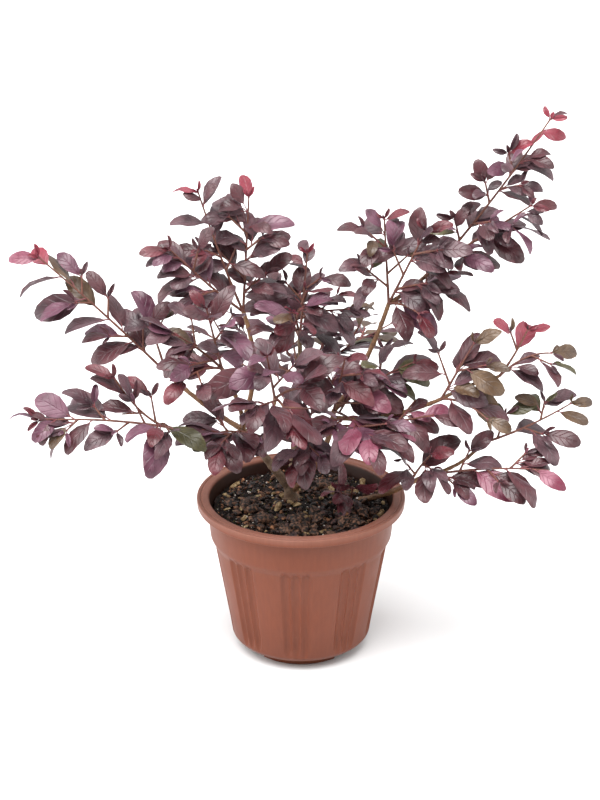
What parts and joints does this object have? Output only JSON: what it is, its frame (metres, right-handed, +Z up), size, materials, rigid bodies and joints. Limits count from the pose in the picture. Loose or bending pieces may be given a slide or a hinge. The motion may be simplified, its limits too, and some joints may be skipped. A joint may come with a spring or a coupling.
{
  "type": "potted fringe flower shrub",
  "caption": "Purple-leaved fringe flower shrub with open arching shoots of oval leaves, in a round terracotta-coloured plastic nursery pot that stands on its flat underside.",
  "frame": {"origin": "centre of the pot's flat underside, on the surface it stands on", "axes": "+Z up, -Y towards the side that the picture shows, +X to that view's right"},
  "size_m": [0.4593, 0.2773, 0.4514],
  "materials": {
    "pot": "satin",
    "soil": "matte",
    "bark": "matte",
    "foliage": "satin"
  },
  "bodies": {
    "root": {"pot": "pot", "soil": "soil", "trunk": "bark", "left_stem": "bark", "right_stem": "bark", "middle_stem": "bark", "back_stem": "bark", "right_low_stem": "bark", "right_upper_stem": "bark", "left_low_bough": "bark", "left_far_bough": "bark", "left_up_bough": "bark", "left_mid_bough": "bark", "front_bough": "bark", "right_mid_bough": "bark", "right_up_bough": "bark", "right_far_bough": "bark", "right_low_bough": "bark", "left_low_outer": "foliage", "left_low_under": "foliage", "left_low_upper": "foliage", "left_low_inner": "foliage", "left_far": "foliage", "left_far_side": "foliage", "left_top": "foliage", "left_shoulder": "foliage", "left_middle": "foliage", "left_centre": "foliage", "left_centre_low": "foliage", "left_centre_up": "foliage", "centre_top": "foliage", "centre_right": "foliage", "centre_left": "foliage", "centre_fore": "foliage", "front_upper": "foliage", "front_mid": "foliage", "front_low": "foliage", "front_left": "foliage", "front_hang": "foliage", "front_right": "foliage", "right_inner": "foliage", "right_heart": "foliage", "right_low_inner": "foliage", "right_cluster": "foliage", "right_cluster_side": "foliage", "right_fork_low": "foliage", "right_top_low": "foliage", "right_top": "foliage", "right_top_side": "foliage", "right_mid": "foliage", "right_mid_low": "foliage", "right_far": "foliage", "right_far_up": "foliage", "right_low_rise": "foliage", "right_low_front": "foliage", "right_low_outer": "foliage", "back_left": "foliage", "back_middle": "foliage", "back_right": "foliage", "sucker": "foliage"}
  },
  "joints": []
}
